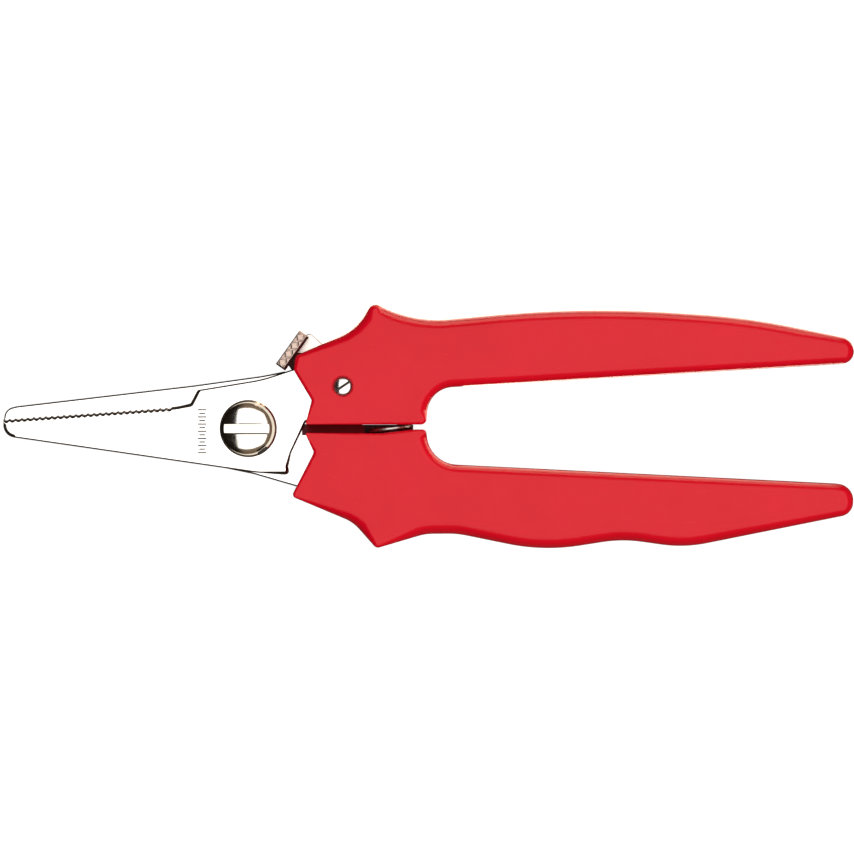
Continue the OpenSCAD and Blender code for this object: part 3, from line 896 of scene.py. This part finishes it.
WASHER_D = 12.8
WASHER_BREAK = 0.06
WASHER_SLOPE = 0.45  # width of the slope round its rim
WASHER_OFF = 0.35    # how far the rim is off the hole's centre
LOCK_TAB_TURN = -54
LOCK_TAB_W = 2.6
LOCK_TAB_T = 0.7
LOCK_TAB_ROUND = 0.3


def lock_washer():
    z0, z1, gap = FRONT_Z1, HEAD_Z0, WASHER_BREAK
    outer, inner = WASHER_D / 2, SHANK_D / 2 + 0.05
    rim = [(outer - gap, z0), (outer, z0 + gap), (outer - WASHER_SLOPE, z1)]
    hole = [(inner + gap, z1), (inner, z1 - gap), (inner, z0 + gap), (inner + gap, z0)]
    rings = [circle(r, z, (WASHER_OFF, 0)) for r, z in rim] + [circle(r, z) for r, z in hole]
    washer = skin("lock_washer", rings, closed=True)
    x0, x1 = HEAD_D / 2 + 0.1, HEAD_D / 2 + 0.1 + LOCK_TAB_T
    half, top = LOCK_TAB_W / 2, high_z("pivot_lock_washer")
    tab = block("tab", (x0, -half, z0), (x1, half, top), LOCK_TAB_TURN)
    soften(tab, LOCK_TAB_ROUND, 4)
    combine(washer, tab, operation="UNION")
    dress(washer, "upper_arm", WASHER, "pivot_lock_washer")


NUT_FLATS = 10.0
NUT_DROP = 0.55      # height of the turned corners


def pivot_nut():
    """A hex nut with its corners turned off at both ends."""
    z0, z1 = low_z("pivot_nut"), high_z("pivot_nut")
    corner = NUT_FLATS / 2 / math.cos(math.radians(30))
    face, past_corner = NUT_FLATS / 2 - 0.2, corner + 0.05
    nut = lathe("hex_nut", [(corner, z0), (corner, z1)], sides=6)
    profile = [(face, z0), (past_corner, z0 + NUT_DROP), (past_corner, z1 - NUT_DROP), (face, z1)]
    turned = lathe("turned", profile, sides=94)
    # A side count and a turn that keep the two pieces' corners apart, for a clean cut
    turned.data.transform(Matrix.Rotation(math.radians(1.3), 4, "Z"))
    combine(nut, turned, operation="INTERSECT")
    bore = SHANK_D / 2 + 0.03
    mouth = bore + 1.3
    profile = [(mouth, z0 - PAST), (bore, z0 + 0.35), (bore, z1 - 0.35), (mouth, z1 + PAST)]
    combine(nut, lathe("bore", profile))
    dress(nut, "upper_arm", FASTENER, "pivot_nut")


# Latch -------------------------------------------------------------------------------------------
TAB_A = Vector((6.6, 14.4))
TAB_B = Vector((11.9, 21.85))
TAB_FOOT = 2.3       # how far the tab's foot reaches into the plate
TAB_FOLD = 2.55      # width of the thumb rest
TAB_CHAMFER = 0.6    # along the fold's inner edge
END_CHAMFER = 0.4    # across both ends
KNURL_ROWS = 4
KNURL_DEPTH = 0.14
KNURL_HALF = 0.28    # half the width of a groove
KNURL_STEP = 0.09    # distance between the mesh's points
KNURL_MARGIN = 0.12  # plain strip along each side
KNURL_FADE = 0.1     # where the grooves run out
# The bent sheet in section: (outwards, height, corner radius)
TAB_PROFILE = [
    (-TAB_FOOT, LATCH_Z0, 0), (-TAB_FOOT, LATCH_Z1, 0), (-LATCH_T, LATCH_Z1, 0.4),
    (-LATCH_T, TAB_TOP - LATCH_T, 0.4), (-TAB_FOLD, TAB_TOP - LATCH_T, 0.1),
    (-TAB_FOLD, TAB_TOP - TAB_CHAMFER, 0.1), (TAB_CHAMFER - TAB_FOLD, TAB_TOP, 0.1),
    (0, TAB_TOP, 0.25), (0, LATCH_Z0, 1.2),
]


def knurl(w, u, length):
    """Depth of the crossed V grooves at w along the thumb rest and u across it from its middle."""
    pitch = length / KNURL_ROWS
    depth = 0
    for v in (w + u, w - u):
        off = abs((v / pitch + 0.5) % 1 - 0.5) * pitch / math.sqrt(2)
        depth = max(depth, 1 - off / KNURL_HALF)
    return depth * KNURL_DEPTH


def subdivided(points):
    """A closed outline with a point at least every KNURL_STEP."""
    out = []
    for a, b in zip(points, points[1:] + points[:1]):
        count = max(1, math.ceil((b - a).length / KNURL_STEP))
        out += [a + (b - a) * k / count for k in range(count)]
    return out


def thumb_tab():
    """The bent tab, with a knurled thumb rest and chamfers round it."""
    section = subdivided(outline_xy([(*c, 0) for c in TAB_PROFILE]))
    along = TAB_B - TAB_A
    length = along.length
    along.normalize()
    out = Vector((-along.y, along.x))
    rest_w = TAB_FOLD - TAB_CHAMFER
    rings = []
    count = math.ceil(length / KNURL_STEP)
    for i in range(count + 1):
        w = length * i / count
        from_end = min(w, length - w)
        top = TAB_TOP - max(0, END_CHAMFER - from_end)
        ring = []
        for q in section:
            room = min(from_end - END_CHAMFER, -q.x - KNURL_MARGIN, q.x + rest_w - KNURL_MARGIN)
            fade = max(0, min(1, room / KNURL_FADE)) if q.y > TAB_TOP - 0.001 else 0
            p = TAB_A + along * w + out * q.x
            ring.append((*p, min(q.y - fade * knurl(w, q.x + rest_w / 2, length), top)))
        rings.append(ring)
    return skin("tab", rings)


def latch_lever():
    lever = plate("thumb_latch", LATCH_PLATE, LATCH_Z0, LATCH_Z1)
    combine(lever, thumb_tab(), operation="UNION")
    combine(lever, drill(BARREL_D + 2 * RUNNING_ROOM, LATCH_Z0 - PAST, LATCH_Z1 + PAST, LATCH_AT))
    dress(lever, "latch", LATCH, "latch_lever")


LATCH_HEAD_D = 3.9
LATCH_SHANK_D = 2.0
LATCH_DOME_R = 4.4
LATCH_RIM_R = 0.3
LATCH_RIM_W = 0.18
LATCH_SLOT_W = 0.55
LATCH_SLOT_TURN = 34


def latch_screw():
    z0, z1 = low_z("latch_screw"), high_z("latch_screw")
    half = LATCH_SHANK_D / 2
    profile = [(half - 0.2, z0), (half, z0 + 0.2), (half, RECESS_Z)]
    profile += domed_profile(LATCH_HEAD_D, RECESS_Z, z1, LATCH_DOME_R, LATCH_RIM_R, LATCH_RIM_W)
    screw = lathe("small_screw", profile, LATCH_AT, 72)
    slot = slot_cutter(LATCH_SLOT_W, LATCH_HEAD_D, LATCH_SLOT_DEPTH, 0, z1, LATCH_SLOT_TURN, LATCH_AT)
    combine(screw, slot)
    dress(screw, "upper_arm", SMALL_HEAD, "latch_screw")


BARREL_BORE = 2.06
BARREL_SLOT = (12, 0.8, 0.6)     # length, width and depth


def barrel_nut():
    z0, z1 = BARREL_Z0, high_z("latch_barrel_nut")
    head, sleeve = BARREL_HEAD_D / 2, BARREL_D / 2
    x, y, depth = BARREL_SLOT[0] / 2, BARREL_SLOT[1] / 2, BARREL_SLOT[2]
    outside = [
        (head - 0.2, z0), (head, z0 + 0.2), (head, z0 + BARREL_HEAD_T), (sleeve, z0 + BARREL_HEAD_T),
        (sleeve, z1 - 0.15), (sleeve - 0.15, z1),
    ]
    nut = lathe("barrel_nut", outside, LATCH_AT, 72)
    combine(
        nut,
        drill(BARREL_BORE, z0 + BARREL_HEAD_T + 0.3, z1 + PAST, LATCH_AT, 48),
        block("slot", (-x, -y, z0 - PAST), (x, y, z0 + depth), centre=LATCH_AT),
    )
    dress(nut, "upper_arm", FASTENER, "latch_barrel_nut")


# Spring ------------------------------------------------------------------------------------------
WIRE_D = 1.2
OPEN_TURNS = 4
END_TURNS = 1            # closed turns at each end
WIRE_SIDES = 14
RINGS_PER_TURN = 48


def opening_spring():
    """A right-handed round-wire spring with a closed turn at each end and one across the gap's front."""
    coil_r = (COIL_D - WIRE_D) / 2
    closed_rise = WIRE_D * 1.02
    length = spring_high.y - spring_low.y
    open_rise = (length - WIRE_D - 2 * END_TURNS * closed_rise) / OPEN_TURNS
    turns = OPEN_TURNS + 2 * END_TURNS
    count = turns * RINGS_PER_TURN
    gap_turn = END_TURNS + (-spring_low.y - WIRE_D / 2 - END_TURNS * closed_rise) / open_rise
    rings = []
    for i in range(count + 1):
        s = i / RINGS_PER_TURN
        low, high = min(s, END_TURNS), max(0, s - turns + END_TURNS)
        climb = (low + high) * closed_rise + (s - low - high) * open_rise
        a = math.radians(90 + 360 * (gap_turn - s))
        out = Vector((math.cos(a), 0, math.sin(a)))
        centre = Vector((SPRING_X, spring_low.y + WIRE_D / 2 + climb, MID_Z)) + coil_r * out
        ring = []
        for k in range(WIRE_SIDES):
            b = 2 * math.pi * k / WIRE_SIDES
            ring.append(centre + WIRE_D / 2 * (out * math.cos(b) + Vector((0, math.sin(b), 0))))
        rings.append(ring)
    spring = skin("return_spring", rings)
    spring.data.transform(to_frame)
    shade(spring, WIRE, math.radians(50))
    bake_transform(spring)
    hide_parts("opening_spring")


upper_handle()
lower_handle()
front_blade()
back_blade()
pivot_screw()
lock_washer()
pivot_nut()
latch_lever()
latch_screw()
barrel_nut()
opening_spring()

# CAD nodes that keep their shape
shade(frame["nodes"]["pivot_bushing"], BRONZE)
shade(frame["nodes"]["pivot_spring_washer"], WIRE)
shade(frame["nodes"]["latch_spring_washer"], WIRE)

# Studio ------------------------------------------------------------------------------------------
scene = bpy.context.scene
scene.view_settings.view_transform = "Standard"


def panel(name, centre, size, radiance, aim, tint=(1, 1, 1)):
    """A soft light of an even radiance that faces the point aim."""
    data = bpy.data.lights.new(name, "AREA")
    data.shape = "RECTANGLE"
    data.size, data.size_y = size
    data.energy = radiance * math.pi * size[0] * size[1]
    data.color = tint
    light = bpy.data.objects.new(name, data)
    light.location = centre
    direction = Vector(aim) - Vector(centre)
    light.rotation_euler = direction.to_track_quat("-Z", "Y").to_euler()
    light.visible_camera = False
    scene.collection.objects.link(light)
    return light


def flat_panel(name, low, high, z, radiance, up, tint=(1, 1, 1)):
    """A level panel between two corners, which shines upwards or downwards."""
    middle = ((low[0] + high[0]) / 2, (low[1] + high[1]) / 2)
    size = (high[0] - low[0], high[1] - low[1])
    return panel(name, (*middle, z), size, radiance, (*middle, z + (1 if up else -1)), tint)


SOFTBOX_Z = 1.6
SOFTBOX_X = (-23, 44)            # its edges, in degrees from overhead: it is cut off on the blades' side
SOFTBOX_Y = (-42, 42)
SOFTBOX_RADIANCE = 1.5
CARD_Z = 0.0001
CARD_TINT = (1, 0.74, 0.58)
CARD_RADIANCE = 5.0


def softbox():
    """A large soft light overhead."""
    low, high = (
        [SOFTBOX_Z * math.tan(math.radians(side[end])) for side in (SOFTBOX_X, SOFTBOX_Y)]
        for end in (0, 1)
    )
    flat_panel("softbox", low, high, SOFTBOX_Z, SOFTBOX_RADIANCE, False)


def cards():
    """Cards lying and standing beside the handles, which edge their +Y rims with a warm line."""
    lying = (
        ("card_outside", (-0.025, 0.018), (cad_high.x + 0.01, 0.060)),
        ("card_between", (0.008, 0.001), (cad_high.x, 0.009)),
    )
    standing = (
        ("card_standing", 0.09, (0.12, 0.044), 0.024),
        ("card_in_gap", 0.0085, (0.09, 0.011), 0.0065),
    )
    made = [
        flat_panel(name, low, high, CARD_Z, CARD_RADIANCE, True, CARD_TINT)
        for name, low, high in lying
    ]
    x = cad_high.x / 2
    for name, y, size, z in standing:
        made.append(panel(name, (x, y, z), size, CARD_RADIANCE, (x, -1, z), CARD_TINT))
    for card in made:
        card.visible_diffuse = False


def for_camera(tree, others, seen, output):
    """Shows one shader to the camera and another to all other rays."""
    nodes, links = tree.nodes, tree.links
    mix = nodes.new("ShaderNodeMixShader")
    links.new(nodes.new("ShaderNodeLightPath").outputs["Is Camera Ray"], mix.inputs[0])
    links.new(others.outputs[0], mix.inputs[1])
    links.new(seen.outputs[0], mix.inputs[2])
    links.new(mix.outputs[0], nodes.new(output).inputs[0])


FLOOR_HALF = 2.5
FLOOR_Z = -0.0002


def floor():
    """A pale, evenly lit floor, which the snips mirror as a dim one."""
    bm = bmesh.new()
    bmesh.ops.create_grid(bm, x_segments=1, y_segments=1, size=FLOOR_HALF)
    mesh = bpy.data.meshes.new("floor")
    bm.to_mesh(mesh)
    bm.free()
    obj = bpy.data.objects.new("floor", mesh)
    obj.location.z = FLOOR_Z
    scene.collection.objects.link(obj)
    material = bpy.data.materials.new("pale_floor")
    material.use_nodes = True
    nodes, links = material.node_tree.nodes, material.node_tree.links
    nodes.clear()
    diffuse = nodes.new("ShaderNodeBsdfDiffuse")
    diffuse.inputs["Color"].default_value = (0.35, 0.35, 0.35, 1)
    glow = nodes.new("ShaderNodeEmission")
    glow.inputs["Strength"].default_value = 0.92
    lit = nodes.new("ShaderNodeAddShader")
    links.new(diffuse.outputs[0], lit.inputs[0])
    links.new(glow.outputs[0], lit.inputs[1])
    dim = nodes.new("ShaderNodeBsdfDiffuse")
    dim.inputs["Color"].default_value = (0.22, 0.18, 0.15, 1)
    for_camera(material.node_tree, dim, lit, "ShaderNodeOutputMaterial")
    mesh.materials.append(material)


# The room's colours from the horizon to overhead
ROOM = ((0.0, (0.09, 0.07, 0.055, 1)), (0.35, (0.15, 0.11, 0.075, 1)), (1.0, (0.32, 0.23, 0.15, 1)))
ROOM_SIDE = {"From Min": -0.35, "From Max": -0.05, "To Min": 0.05, "To Max": 1}


def surroundings():
    """A dim warm room, dark at its horizon and on the blades' side; the camera sees a pale backdrop."""
    world = bpy.data.worlds.new("studio")
    scene.world = world
    world.use_nodes = True
    nodes, links = world.node_tree.nodes, world.node_tree.links
    nodes.clear()
    place = nodes.new("ShaderNodeTexCoord")
    parts = nodes.new("ShaderNodeSeparateXYZ")
    links.new(place.outputs["Generated"], parts.inputs[0])
    ramp = nodes.new("ShaderNodeValToRGB")
    links.new(parts.outputs["Z"], ramp.inputs["Fac"])
    stops = ramp.color_ramp.elements
    stops.new(ROOM[1][0])
    for stop, (position, colour) in zip(stops, ROOM):
        stop.position = position
        stop.color = colour
    side = nodes.new("ShaderNodeMapRange")
    links.new(parts.outputs["X"], side.inputs["Value"])
    for name, value in ROOM_SIDE.items():
        side.inputs[name].default_value = value
    room = nodes.new("ShaderNodeBackground")
    links.new(ramp.outputs["Color"], room.inputs["Color"])
    links.new(side.outputs["Result"], room.inputs["Strength"])
    backdrop = nodes.new("ShaderNodeBackground")
    backdrop.inputs["Color"].default_value = (1, 1, 1, 1)
    for_camera(world.node_tree, room, backdrop, "ShaderNodeOutputWorld")


CAMERA_HEIGHT = 1.2
VIEW_WIDTH = 0.1912
VIEW_CENTRE = (-0.00025, -0.0002)


def camera():
    """Straight down over the middle of the snips."""
    data = bpy.data.cameras.new("camera")
    data.sensor_width = 36
    data.lens = data.sensor_width * CAMERA_HEIGHT / VIEW_WIDTH
    data.clip_end = 10
    obj = bpy.data.objects.new("camera", data)
    obj.location = (*VIEW_CENTRE, MID_Z * MM + CAMERA_HEIGHT)
    scene.collection.objects.link(obj)
    scene.camera = obj


softbox()
cards()
floor()
surroundings()
camera()
